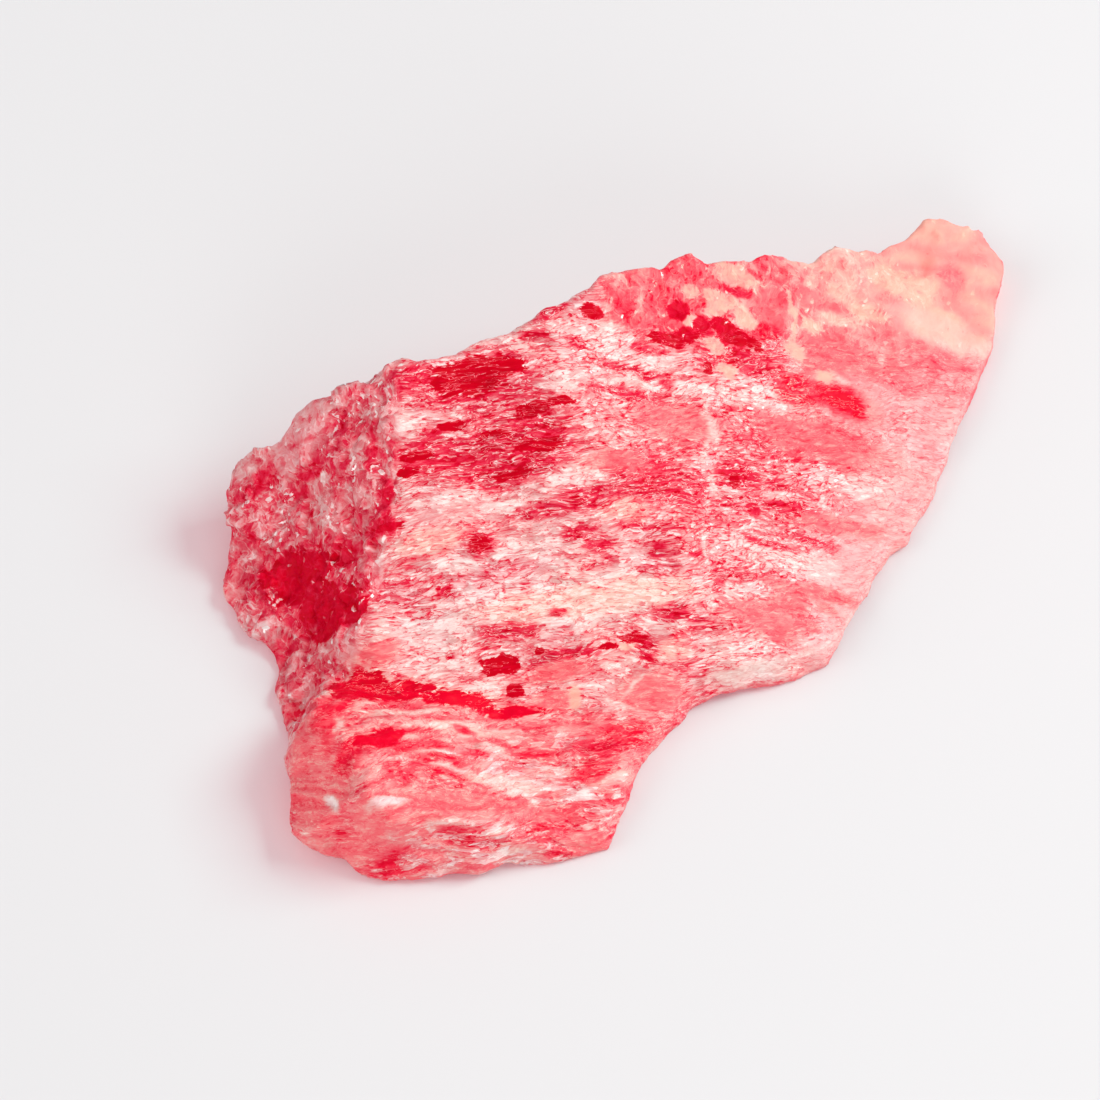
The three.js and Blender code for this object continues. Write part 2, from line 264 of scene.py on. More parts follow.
DULL_RED_PATCHES = [
    (1.0, 5.2, 0.80, 0.34, 0), (2.1, 6.1, 0.90, 0.70, 0), (4.3, 5.4, 0.90, 0.40, 0),
    (1.5, 5.6, 0.60, 0.40, 0), (1.6, 6.7, 1.25, 0.85, 0), (2.6, 6.6, 1.50, 1.10, 0),
    (3.6, 5.6, 0.90, 0.60, -30), (4.7, 7.7, 0.60, 0.55, 0), (5.2, 2.9, 1.90, 0.70, 0),
    (6.9, 3.4, 0.90, 0.40, 10), (-6.1, -9.0, 0.70, 0.16, 14), (-4.6, -9.2, 0.90, 0.12, 8),
    (-2.9, 2.0, 1.50, 0.60, -5), (-6.3, 2.9, 0.60, 0.45, 0), (4.55, 6.6, 0.45, 0.75, 0),
    (3.6, 5.0, 0.60, 0.40, -20), (2.9, 7.6, 0.60, 0.40, 0), (2.2, 7.5, 0.90, 0.41, 0),
    (4.8, 8.2, 0.45, 0.50, 0), (3.6, 7.55, 0.45, 0.42, 0),
]
BRIGHT_RED = [
    (-7.6, -5.5, 0.95, 0.75, 0), (-6.3, -5.5, 1.10, 0.38, -4), (-4.7, -5.7, 1.20, 0.34, -4),
    (-3.2, -5.95, 0.95, 0.22, 0), (-7.0, -7.95, 0.82, 0.38, 20), (6.8, 4.75, 0.72, 0.26, -8),
]
SCARLET_STREAKS = [
    (-6.45, -8.15, 0.68, 0.17, 16), (-5.4, -7.75, 0.52, 0.14, 0), (-5.0, -8.3, 0.74, 0.20, -8),
    (-5.05, -8.85, 0.70, 0.15, -8), (-5.95, -7.4, 0.60, 0.12, 10), (-4.5, -6.95, 0.36, 0.13, -10),
    (-0.7, -8.0, 0.54, 0.33, 0), (0.3, -6.6, 0.80, 0.36, 0), (-8.7, -7.2, 0.30, 1.20, 0),
    (-2.7, -7.4, 0.80, 0.22, -12), (-7.9, -8.9, 0.42, 0.45, 0), (-8.3, -6.4, 0.40, 0.50, 0),
    (6.7, 4.75, 1.20, 0.42, -8), (5.5, 4.7, 0.75, 0.45, 0), (4.5, 6.2, 0.30, 0.35, 0),
]
print(len(RED_PATCHES + DULL_RED_PATCHES + BRIGHT_RED + SCARLET_STREAKS), "red patches")

# %% Coral and rose patches
# Milky coral and rose, then the dusted places and the painted highlights on the lobe's crest, the thin white
# veins, and the pale lumps, which have fewer streaks.
CORAL_PATCHES = [
    (6.7, 0.6, 1.30, 0.26, 12), (4.6, 7.1, 0.54, 0.68, 0), (6.1, 7.9, 0.60, 0.22, 0),
    (6.6, 6.2, 0.72, 0.60, 0), (1.9, 2.5, 1.35, 0.60, 0), (6.1, 3.2, 2.10, 0.70, 0),
    (0.1, 0.8, 1.05, 0.28, 0), (-1.7, -4.8, 0.90, 0.30, 0), (-7.2, -4.4, 0.75, 0.31, 0),
    (-2.0, -5.6, 0.75, 0.28, 0), (-2.6, -7.3, 0.90, 0.33, 0), (-5.6, -10.4, 2.70, 0.40, 4),
    (5.2, -1.8, 0.90, 0.26, 0), (6.4, -1.7, 0.90, 0.25, 0), (4.5, -3.1, 1.05, 0.57, 0),
    (5.2, -2.4, 0.60, 0.32, 0), (5.9, -3.0, 0.24, 0.20, 0), (6.3, -2.2, 0.30, 0.17, 0),
    (1.2, -5.4, 1.20, 0.51, 0), (-0.8, -10.3, 0.84, 0.30, 0), (9.1, 7.1, 0.45, 0.24, 0),
    (8.4, 6.6, 0.21, 0.45, 0), (7.6, 6.2, 0.36, 0.43, 0), (-8.6, -9.6, 0.70, 0.90, 0),
    (-9.0, -8.2, 0.70, 1.50, 0), (-8.4, -7.0, 0.50, 0.90, 0), (6.6, 6.3, 0.80, 0.62, 0),
    (6.7, 6.4, 0.55, 0.50, 0), (-5.4, -10.0, 2.60, 0.34, 5), (-6.4, -8.0, 1.10, 0.55, 0),
    (-2.6, -9.6, 1.20, 0.40, 0), (6.3, 7.7, 0.80, 0.13, 12), (6.7, 7.1, 0.70, 0.12, 12),
    (10.2, 9.6, 0.36, 0.40, 0), (-8.9, -9.4, 0.60, 1.40, 0), (6.2, 5.9, 0.90, 0.60, 0),
    (-6.6, -10.7, 1.40, 0.25, 4),
]
ROSE_PATCHES = [
    (-6.5, -2.7, 0.75, 0.37, 0), (-3.5, -2.2, 1.35, 0.26, 0), (-9.5, -4.6, 0.90, 0.78, 0),
]
FLECKED_PLACES = [
    (-5.4, -11.3, 2.40, 0.60, 4), (-3.0, -10.8, 1.80, 0.50, 4), (-3.6, -8.0, 1.60, 0.60, 0),
    (-1.2, -8.8, 1.60, 1.00, 0), (-2.0, -7.0, 1.40, 0.30, 0),
]
# Painted highlights: two near-white spots on the lobe's crest where it would catch the light.
PAINTED_HIGHLIGHTS = [
    (-6.7, -10.42, 0.60, 0.14, 4), (-8.4, -10.0, 0.32, 0.13, -72),
]
VEINS = [
    (2.65, 3.2, 0.45, 0.13, 76), (2.90, 2.5, 0.45, 0.17, 104), (2.70, 1.7, 0.50, 0.12, 82),
    (2.95, 0.9, 0.45, 0.13, 98), (2.80, 0.1, 0.40, 0.08, 80), (2.80, -2.2, 1.60, 0.05, 94),
    (0.1, -5.7, 0.70, 0.06, -22), (0.7, -5.1, 0.75, 0.05, 35), (-8.25, -7.6, 0.10, 0.42, -12),
    (-6.5, -7.85, 0.75, 0.09, 16), (-5.2, -8.03, 0.60, 0.07, -4), (-5.0, -8.57, 0.70, 0.07, -8),
    (-6.6, -8.75, 0.70, 0.08, 12), (-3.9, -7.5, 0.60, 0.16, -20), (-3.4, -6.6, 0.80, 0.06, -6),
]
PALE_LUMPS = [
    (-4.9, -0.65, 1.30, 0.32, 0), (8.2, 4.6, 0.80, 0.70, 0), (-11.4, 2.2, 0.54, 0.68, 0),
    (-9.3, 2.4, 0.50, 0.50, 0), (-9.6, -0.5, 0.36, 0.15, 0), (-7.9, -2.3, 0.18, 0.43, 0),
    (-11.5, -1.2, 0.20, 0.30, 0), (-8.1, -4.3, 0.27, 0.20, 0), (-9.1, -4.9, 0.24, 0.50, 0),
    (-6.9, -2.0, 0.50, 0.22, 0),
]
print(len(CORAL_PATCHES) + len(ROSE_PATCHES), "coral and rose patches")

# %% White veils with a few painted highlights, and cream stains
# Veils are where the flakes lie thickest; three small ovals among them, on the lobe's crest, are painted
# highlights. Cream stains are an earthy film, and the faint ones only warm the stone. The calm patch has
# hardly a streak.
VEILS_AND_HIGHLIGHTS = [
    (-1.7, 3.2, 0.84, 0.50, 0), (-0.5, 4.7, 1.30, 0.40, 0), (-4.3, 2.2, 1.10, 0.15, 0),
    (-6.0, 1.9, 0.60, 0.13, 0), (-1.4, 0.2, 1.50, 0.18, 0), (0.7, 4.4, 1.20, 0.30, 0),
    (2.2, 3.7, 1.50, 0.26, 0), (3.9, 6.7, 0.42, 0.61, 0), (4.3, 4.2, 0.90, 0.42, 0),
    (6.5, 5.25, 0.50, 0.26, -10), (7.0, 2.0, 1.20, 0.37, 0), (4.9, 1.0, 0.45, 0.16, 0),
    (-5.3, -4.6, 1.05, 0.40, 0), (-5.6, -3.6, 1.80, 0.28, 0), (-3.9, -5.3, 0.60, 0.29, 0),
    (4.9, -0.9, 1.80, 0.42, 0), (10.0, 7.9, 1.35, 0.60, 0), (-4.4, -0.5, 1.65, 0.30, 0),
    (4.3, -4.3, 1.80, 0.38, 0), (-5.0, -7.0, 1.50, 0.26, 0), (-3.4, -8.7, 1.20, 0.34, 0),
    # These three ovals on the lobe's crest are painted highlights, laid on with the veils.
    (-7.1, -10.6, 0.66, 0.22, 4), (-8.65, -8.9, 0.14, 0.35, 0), (-8.3, -7.5, 0.16, 0.50, -12),
    (-6.4, -6.6, 1.20, 0.14, 4), (-1.4, -3.3, 1.80, 0.50, 0), (1.0, -2.9, 1.20, 0.35, 0),
    (-4.1, -3.2, 1.00, 0.30, 0), (-5.3, -3.9, 0.90, 0.40, 0), (-0.4, -2.5, 1.60, 0.35, 0),
    (-4.9, -0.3, 1.20, 0.22, 0), (-6.4, 1.6, 0.30, 0.16, 0), (-3.4, -1.6, 2.20, 0.34, 4),
    (-3.3, -2.1, 1.50, 0.26, 0), (2.5, -2.4, 1.40, 0.30, 0), (-2.6, -2.9, 3.00, 0.70, 0),
    (1.4, -3.6, 0.70, 0.30, 0),
]
CREAM_STAINS = [
    (3.0, 6.4, 0.36, 0.40, 0), (5.25, 7.0, 0.13, 0.90, 0), (3.0, 5.25, 0.36, 0.28, 0),
    (-1.2, -5.5, 0.20, 0.30, 0), (3.6, 7.8, 0.75, 0.34, 0), (3.4, 4.6, 0.30, 0.28, 0),
    (9.2, 9.0, 0.60, 0.50, 0), (7.6, 7.8, 0.66, 0.22, 0), (8.5, 9.0, 0.80, 0.50, -30),
    (0.3, -4.1, 0.24, 0.22, 0), (2.3, 6.9, 0.28, 0.24, 0), (2.2, 5.9, 0.30, 0.20, 0),
    (3.2, 5.9, 0.36, 0.28, 0), (3.9, 6.4, 0.30, 0.40, 0), (3.3, 6.85, 0.50, 0.34, 0),
    (1.8, 6.2, 0.22, 0.20, 0), (5.4, 5.9, 0.30, 0.28, 0), (5.9, 6.9, 0.36, 0.30, 0),
    (2.9, 7.0, 0.26, 0.22, 0), (6.3, 5.3, 0.34, 0.22, 0),
]
FAINT_STAINS = [
    (0.3, -0.5, 0.66, 0.33, 0), (-5.4, -1.4, 1.10, 0.30, 0), (-1.4, -3.0, 2.70, 0.42, 0),
    (1.6, -4.3, 0.48, 0.33, 0), (1.2, -2.6, 1.40, 0.40, 0),
]
CALM_PATCH = (7.0, 4.9, 1.40, 1.00, 0)
print(len(VEILS_AND_HIGHLIGHTS), "white veils and", len(CREAM_STAINS), "cream stains")

# %% [markdown]
# ## Lay the marks on
# Large faint regions come first, then the marks over them, so that a small window stays clear inside a veil.
# Three numbers for each point are enough for the finish: the tone, from 0 for clear garnet to 1 for white,
# how warm it is, from rose to peach, and how smooth, which keeps the streaks out of the calm places.

# %% How a mark is laid on
def mark_share(mark, softness):
    right, back, half_length, half_width, turn = mark
    angle = grain_turn + math.radians(turn)
    torn = min(1.0, 0.3 + half_width)  # a narrow mark is torn less, so that it holds together
    to_right = x + torn * drift_x - right
    to_back = y + torn * drift_y - back
    along = to_right * np.cos(angle) + to_back * np.sin(angle)
    across = to_back * np.cos(angle) - to_right * np.sin(angle)
    away = np.hypot(along / half_length, across / half_width)
    return soft_step(1 + softness, 1 - softness, away) * shown


def lay(field, marks, value, strength=1.0, softness=0.45):
    for mark in marks:
        field += strength * mark_share(mark, softness) * (value - field)


def strongest(marks, softness=0.7):
    return np.max([mark_share(mark, softness) for mark in marks], axis=0)


print("one window covers", f"{mark_share(GARNET_WINDOWS[0], 0.7).mean():.1%} of the chip")

# %% Tone of the regions
FACE_TONE = 0.64
SIDE_TONE = 0.48
UNDERSIDE_TONE = 0.5
RIM_GLOW_TONE = 0.74
pale_end = soft_step(4.8, 6.4, x)
# The glassy end's tone is partly painted light: it is paler to make up for the light it misses, facing away
# from the key lamp.
REGION_TONES = [
    (shoulder, 0.46), (shoulder * pale_end, 0.64), (tip, 0.61), (lobe, 0.475), (glassy, 0.49),
    (end_lump, 0.6),
]

patchy = wander(flow * (0.8, 2.0, 1.4), 1.0, 4.4, 3)
cloudy = wander(crumpled, 0.9, 7.3, 3)
pale_wall = soft_step(1.0, 4.0, x) * soft_step(4.0, 1.0, y - 0.5 * x)
side = (1 - shown) * (1 - under)
# The right wall is painted paler from 0.2 mm up, partly as painted light that makes up for the shade the
# lamps leave on it.
side_tone = SIDE_TONE + 0.42 * pale_wall * soft_step(0.2, 0.9, z)
tone = np.full(count, FACE_TONE)
for region, region_tone in REGION_TONES:
    tone += region * (region_tone - tone)
tone = tone * shown + side_tone * side + UNDERSIDE_TONE * under * (1 - shown)
print("the regions' tones average", round(float(tone.mean()), 2))

# %% [markdown]
# The wall at the right and the tip were cut by one clean cleavage, so they are smooth and pale, while the
# broken places are rough. Part of that paleness is painted light: along the thin rim near the floor it is
# painted glow of light that shines through the thin stone, and on the right wall it makes up for the shade
# that the lamps leave there. A smooth point takes little of the noise that the tone gets here, and later
# little of the streaks.

# %% Smoothness, and the noise in the tone
smooth = 0.4 * tip + (0.2 + 0.4 * pale_wall) * side + 0.4 * lobe * shown
smooth += (0.3 + 0.2 * pale_end) * shoulder * up
smooth += 0.6 * end_lump
smooth = np.clip(smooth + 0.5 * lobe * shown * wander(flow * (0.7, 1.2, 1.0), 1.6, 21.3), 0, 0.9)
# Painted glow: the thin rim near the floor at the right, where light shines through the thin stone.
thin_rim_glow = soft_step(1.9, 0.9, z) * soft_step(4.0, 6.5, x) * (1 - tip) * (1 - under)
smooth = np.maximum(smooth, 0.65 * np.maximum(soft_step(6.0, 9.0, x), thin_rim_glow))
rough_end = np.maximum(glassy, 0.8 * shoulder)
tone += 0.45 * lobe * shown * wander(flow * (0.6, 1.7, 1.2), 1.1, 8.3)
tone += (1 - smooth) * (0.22 * patchy * (1 - rough_end) + (0.3 + 0.3 * wall) * cloudy * rough_end)
tone -= 0.05 * soft_step(0, 4, x) * silky * up
tone += 0.6 * shoulder * (1 - pale_end) * up * wander(crumpled, 0.6, 15.1)
tone += 0.25 * np.maximum(tip, shoulder * pale_end) * wander(flow * (0.5, 1.4, 1.0), 1.0, 25.1)
# The thin rim is painted pale, as glow of light that shines through the thin stone.
tone += 0.6 * thin_rim_glow * (RIM_GLOW_TONE - tone)
print("smoothness averages", round(float(smooth.mean()), 2))

# %% Warmth of the regions
tip_foot = tip * soft_step(9.0, 8.2, y)
warmth = 0.2 + 0.7 * tip - 0.65 * tip_foot + 0.5 * shoulder + 0.28 * lobe
warmth += 0.1 * pale_wall * wall
warmth -= 0.2 * glassy
warmth += 0.2 * wander(points, 2.5, 9.9) + 0.2 * cloudy
print("warmth averages", round(float(warmth.mean()), 2))

# %% The marks over the regions
# Each row: the marks, the value that they bring, how strongly, and how soft their edges are.
TONE_MARKS = [
    (ROSE_PATCHES, 0.48, 0.90, 0.45), (DULL_RED_PATCHES, 0.38, 0.80, 0.45), (RED_PATCHES, 0.22, 0.85, 0.45),
    (CORAL_PATCHES, 0.44, 0.85, 0.45), (SCARLET_STREAKS, 0.24, 0.92, 0.30), (PALE_LUMPS, 0.62, 0.90, 0.45),
    (VEINS, 0.82, 0.90, 0.60), (PAINTED_HIGHLIGHTS, 0.95, 0.95, 0.45),
]
WARMTH_MARKS = [
    (RED_PATCHES, 0.05, 0.80), (CORAL_PATCHES, 0.75, 0.90), (SCARLET_STREAKS, 0.85, 0.90),
    (ROSE_PATCHES, 0.0, 1.0), (FAINT_STAINS, 0.75, 0.90), (VEINS, 0.3, 0.90), (CREAM_STAINS, 1.0, 0.95),
    (BRIGHT_RED, 0.9, 1.0), (GARNET_WINDOWS + PAINTED_HIGHLIGHTS, 0.0, 1.0),
]
SMOOTH_MARKS = [(CORAL_PATCHES, 0.65), (PALE_LUMPS, 0.4), ([CALM_PATCH], 0.8)]

lay(tone, VEILS_AND_HIGHLIGHTS, 0.86, 0.85)
tone -= 0.07 * tip_foot
for row in TONE_MARKS:
    lay(tone, *row)
for row in WARMTH_MARKS:
    lay(warmth, *row)
for row in SMOOTH_MARKS:
    lay(smooth, *row)
tone = np.clip(tone, 0, 1)
warmth = np.clip(warmth, 0, 1)
print("with the marks the tone averages", round(float(tone.mean()), 2))

# %% [markdown]
# The finish also needs shares of its own: where the stone is clear glass or stained, where white and red
# lines run, and where the glints of the hackly end and the pale dust of the lobe lie thick.

# %% Where the finish changes
glass_wall = wall * (1 - lobe) * (1 - tip) * (1 - pale_wall)
glass_wall = glass_wall * soft_step(0.1, 0.5, wander(crumpled, 2.2, 4.9))
clear = np.maximum(strongest(GARNET_WINDOWS + BRIGHT_RED), glass_wall)
stained = strongest(CREAM_STAINS)
flecked = strongest(FLECKED_PLACES, 0.8)
lined = soft_step(-0.15, 0.25, wander(flow * (0.5, 1.2, 1.0), 1.3, 12.7))
clustered = soft_step(-0.1, 0.45, wander(crumpled, 1.1, 18.2))
print(f"clear glass covers {clear.mean():.0%} of the chip, and stains {stained.mean():.1%}")

# %% Keep them on the mesh
def keep(mesh, name, values):
    kind = "FLOAT_VECTOR" if values.ndim == 2 else "FLOAT"
    field = "vector" if values.ndim == 2 else "value"
    attribute = mesh.attributes.new(name, kind, "POINT")
    attribute.data.foreach_set(field, np.ascontiguousarray(values, dtype=np.float32).ravel())


hackly = np.maximum(glassy * (1 - 0.5 * wall), broken_wall)
KEPT = {
    "grain": grain, "flow": flow, "crumpled": crumpled,
    "silky": silky * up, "grainy": np.clip(hackly + shoulder * up, 0, 1),
    "glassy": hackly * (1 - 0.85 * end_lump), "shoulder": shoulder * up, "lobe": lobe * up,
    "lined": lined, "clustered": clustered, "flecked": flecked, "clear": clear, "stained": stained,
    "tone": tone, "warmth": warmth, "smooth": smooth, "resting": soft_step(0.25, 0.05, z) * under,
}
for name, values in KEPT.items():
    keep(chip.data, name, values)
print("kept on the mesh:", ", ".join(KEPT))

# %% [markdown]
# ## A short way to write node trees
# The relief is a Geometry Nodes tree and the finish is a shader tree, and both are sums and products of
# noise. These helpers make a node, set or link its inputs, and give back its output, so that a tree reads
# like the sum that it is.

# %% Helpers for node trees
def join(tree, value, socket):
    if isinstance(value, bpy.types.NodeSocket):
        tree.links.new(value, socket)
    else:
        socket.default_value = value


def put(tree, kind, settings=None, output=0, **inputs):
    node = tree.nodes.new(kind)
    for name, value in (settings or {}).items():
        setattr(node, name, value)
    for name, value in inputs.items():
        join(tree, value, node.inputs[name.replace("_", " ")])
    return node.outputs[output]


def maths(tree, operation, *values):
    node = tree.nodes.new("ShaderNodeMath")
    node.operation = operation
    for value, socket in zip(values, node.inputs):
        join(tree, value, socket)
    return node.outputs[0]


def vector_maths(tree, operation, *values):
    node = tree.nodes.new("ShaderNodeVectorMath")
    node.operation = operation
    for i, value in enumerate(values):
        join(tree, value, node.inputs["Scale"] if operation == "SCALE" and i == 1 else node.inputs[i])
    return node.outputs["Value"] if operation == "DOT_PRODUCT" else node.outputs["Vector"]


def total(tree, *values):
    result = values[0]
    for value in values[1:]:
        result = maths(tree, "ADD", result, value)
    return result


def times(tree, *values):
    result = values[0]
    for value in values[1:]:
        result = maths(tree, "MULTIPLY", result, value)
    return result


def ramped(tree, value, low, high, to_low=0.0, to_high=1.0, smooth=True):
    node = tree.nodes.new("ShaderNodeMapRange")
    node.interpolation_type = "SMOOTHSTEP" if smooth else "LINEAR"
    names = ("Value", "From Min", "From Max", "To Min", "To Max")
    for name, number in zip(names, (value, low, high, to_low, to_high)):
        join(tree, number, node.inputs[name])
    return node.outputs[0]


def noise(tree, place, stretch, detail=2.0, roughness=0.5, shift=0.0, output="Fac"):
    moved = vector_maths(tree, "MULTIPLY_ADD", place, stretch, (shift, shift * 1.7, -shift))
    inputs = {"Vector": moved, "Scale": 1.0, "Detail": detail, "Roughness": roughness}
    return put(tree, "ShaderNodeTexNoise", {"noise_dimensions": "3D"}, output, **inputs)


print("helpers are ready")

# %% [markdown]
# ## The relief
# Four kinds of broken surface repeat over the chip. The silky face has splinters that rise across the grain
# and break off in a step. The glassy end has chips that are tilted every way, which Voronoi cells give: each
# cell is a small plane with a slope of its own. The shoulder has rounded grains, and the lobe has folds.
# Geometry Nodes suit it, because each kind is one rule for the whole surface, with its sizes as inputs.

# %% The relief tree and its inputs
RELIEF_SIZES = {
    "Splinter height": 0.07, "Splinter spacing": 0.6, "Sliver height": 0.035, "Sliver spacing": 0.26,
    "Chip size": 1.1, "Chip tilt": 0.16, "Grain size": 0.65, "Grain height": 0.16,
    "Fold height": 0.035, "Fold spacing": 0.6, "Pitting": 0.03, "Seed": 3,
}


def relief_tree():
    tree = bpy.data.node_groups.new("broken stone relief", "GeometryNodeTree")
    tree.interface.new_socket("Geometry", in_out="INPUT", socket_type="NodeSocketGeometry")
    for name, size in RELIEF_SIZES.items():
        kind = "NodeSocketInt" if name == "Seed" else "NodeSocketFloat"
        tree.interface.new_socket(name, in_out="INPUT", socket_type=kind)
    tree.interface.new_socket("Finish", in_out="INPUT", socket_type="NodeSocketMaterial")
    tree.interface.new_socket("Geometry", in_out="OUTPUT", socket_type="NodeSocketGeometry")
    return tree


def named(tree, name, kind="FLOAT"):
    return put(tree, "GeometryNodeInputNamedAttribute", {"data_type": kind}, "Attribute", Name=name)


tree = relief_tree()
print("the relief tree takes", ", ".join(RELIEF_SIZES))

# %% [markdown]
# A splinter in profile is a saw tooth: it rises slowly and breaks off. Noise shifts the teeth, so that no
# two have the same length, and hides some of them. The chips use one slope for each cell, and the folds are
# a sine wave that wanders.

# %% Splinters, chips and folds
BREAKS_AT = 0.8  # the share of its spacing over which a splinter rises


def saw(tree, across, spacing, shift, wander_by, place, stretch):
    drift = noise(tree, place, stretch, shift=shift)
    turns = total(tree, maths(tree, "DIVIDE", across, spacing), times(tree, drift, wander_by))
    part = maths(tree, "FRACT", turns)
    rise = ramped(tree, part, 0.0, BREAKS_AT, smooth=False)
    fall = ramped(tree, part, BREAKS_AT, 1.0)
    return maths(tree, "SUBTRACT", maths(tree, "SUBTRACT", rise, fall), 0.5)


def splinters(tree, sizes, place):
    across = put(tree, "ShaderNodeSeparateXYZ", output="Y", Vector=place)
    coarse = saw(tree, across, sizes["Splinter spacing"], 4.0, 5.0, place, (0.35, 0.9, 0.5))
    fine = saw(tree, across, sizes["Sliver spacing"], 9.0, 6.0, place, (0.8, 1.6, 1.0))
    here = ramped(tree, noise(tree, place, (0.5, 1.3, 0.8), shift=14.0), 0.38, 0.62)
    fine_here = ramped(tree, noise(tree, place, (0.9, 2.2, 1.0), shift=23.0), 0.38, 0.6)
    coarse = times(tree, coarse, sizes["Splinter height"], here)
    return total(tree, coarse, times(tree, fine, sizes["Sliver height"], fine_here))


def tilted_chips(tree, place, size, tilt):
    cells = tree.nodes.new("ShaderNodeTexVoronoi")
    cells.feature = "F1"
    scaled = vector_maths(tree, "DIVIDE", place, put(tree, "ShaderNodeCombineXYZ", X=size, Y=size, Z=size))
    join(tree, scaled, cells.inputs["Vector"])
    cells.inputs["Scale"].default_value = 1.0
    slope = vector_maths(tree, "SUBTRACT", cells.outputs["Color"], (0.5, 0.5, 0.5))
    from_middle = vector_maths(tree, "SUBTRACT", scaled, cells.outputs["Position"])
    return times(tree, vector_maths(tree, "DOT_PRODUCT", slope, from_middle), tilt, size, 2.0)


def folds(tree, sizes, place):
    across = put(tree, "ShaderNodeSeparateXYZ", output="Y", Vector=place)
    drift = noise(tree, place, (0.45, 0.8, 0.6), shift=31.0)
    turns = total(tree, maths(tree, "DIVIDE", across, sizes["Fold spacing"]), times(tree, drift, 4.0))
    wave = maths(tree, "SINE", times(tree, turns, 2 * math.pi))
    return times(tree, wave, sizes["Fold height"])


print("splinters break off at", BREAKS_AT, "of their spacing")

# %% Every kind on its own region
SMALL_CHIPS = {"size": 0.42, "tilt": 0.7}  # as shares of the large ones
GRAIN_LEVEL = 0.45  # a grain stands out where its middle is nearer than this share of its size
SHARE_ON_SHOULDER = 0.5  # of the small chips
SHARE_ON_LOBE = 0.5  # of the splinters


def shifted(tree, place, seed, step):
    return vector_maths(tree, "ADD", place, vector_maths(tree, "SCALE", step, seed))


given = put(tree, "NodeGroupInput").node.outputs
place = shifted(tree, named(tree, "grain", "FLOAT_VECTOR"), given["Seed"], (1.3, 0.7, 2.1))
spot = shifted(tree, put(tree, "GeometryNodeInputPosition"), given["Seed"], (0.9, 1.9, 0.4))
bend = noise(tree, spot, (0.9, 0.9, 0.9), shift=2.0, output="Color")
bent = vector_maths(tree, "ADD", spot, vector_maths(tree, "SCALE", bend, 0.8))
large_chips = tilted_chips(tree, bent, given["Chip size"], given["Chip tilt"])
small_size = times(tree, given["Chip size"], SMALL_CHIPS["size"])
small_tilt = times(tree, given["Chip tilt"], SMALL_CHIPS["tilt"])
small_chips = tilted_chips(tree, bent, small_size, small_tilt)
grain_scale = maths(tree, "DIVIDE", 1.0, given["Grain size"])
cells = {"feature": "SMOOTH_F1"}
rounded = put(tree, "ShaderNodeTexVoronoi", cells, "Distance", Vector=bent, Scale=grain_scale)
lumps = times(tree, maths(tree, "SUBTRACT", GRAIN_LEVEL, rounded), given["Grain height"])
pits = times(tree, maths(tree, "SUBTRACT", noise(tree, spot, (2.2, 2.2, 2.2), 3.0, 0.6, 41.0), 0.5), 4.0)
long_splinters = splinters(tree, given, place)
on_shoulder = total(tree, lumps, times(tree, small_chips, SHARE_ON_SHOULDER))
on_lobe = total(tree, folds(tree, given, place), times(tree, long_splinters, SHARE_ON_LOBE))
height = total(
    tree,
    times(tree, long_splinters, named(tree, "silky")),
    times(tree, total(tree, large_chips, small_chips), named(tree, "glassy")),
    times(tree, on_shoulder, named(tree, "shoulder")),
    times(tree, on_lobe, named(tree, "lobe")),
    times(tree, pits, given["Pitting"]),
)
height = times(tree, height, maths(tree, "SUBTRACT", 1.0, named(tree, "resting")))
print("the height is the sum of five kinds of relief")

# %% [markdown]
# The height moves each point along its normal. It is also stored, because the finish makes high places
# paler and low places darker: partly because the veil of flakes is thickest on a splinter's crest, and
# partly as a painted highlight on the crests and painted shade in the hollows.

# %% Move the points and give them the finish
offset = vector_maths(tree, "SCALE", put(tree, "GeometryNodeInputNormal"), height)
kept = put(
    tree, "GeometryNodeStoreNamedAttribute", {"data_type": "FLOAT", "domain": "POINT"},
    Geometry=given["Geometry"], Name="relief", Value=height,
)
moved = put(tree, "GeometryNodeSetPosition", Geometry=kept, Offset=offset)
shaded = put(tree, "GeometryNodeSetShadeSmooth", Geometry=moved, Shade_Smooth=True)
whole = put(tree, "GeometryNodeRealizeInstances", Geometry=shaded)
dressed = put(tree, "GeometryNodeSetMaterial", Geometry=whole, Material=given["Finish"])
join(tree, dressed, tree.nodes.new("NodeGroupOutput").inputs[0])
print("the relief tree has", len(tree.nodes), "nodes")

# %% [markdown]
# ## The finish
# Light goes into this stone, wanders through the red body and comes out again, so the shader is a Principled
# one with subsurface scattering. One number, the tone, picks the colour from garnet to white. It starts
# from the listed marks, and noise in several sizes breaks it into streaks and fibres along the grain,
# or into grains on the glassy end.

# %% Colours of the stone
COOL_TONES = [
    (0.00, (0.54, 0.000, 0.010)), (0.12, (0.62, 0.001, 0.022)), (0.30, (0.69, 0.018, 0.060)),
    (0.45, (0.715, 0.100, 0.132)), (0.62, (0.735, 0.300, 0.312)), (0.80, (0.80, 0.520, 0.520)),
    (1.00, (0.87, 0.720, 0.695)),
]
WARM_TONES = [
    (0.00, (0.74, 0.001, 0.022)), (0.20, (0.85, 0.008, 0.040)), (0.42, (0.89, 0.150, 0.168)),
    (0.60, (0.86, 0.320, 0.284)), (0.74, (0.82, 0.430, 0.335)), (0.86, (0.83, 0.540, 0.430)),
    (1.00, (0.88, 0.670, 0.600)),
]


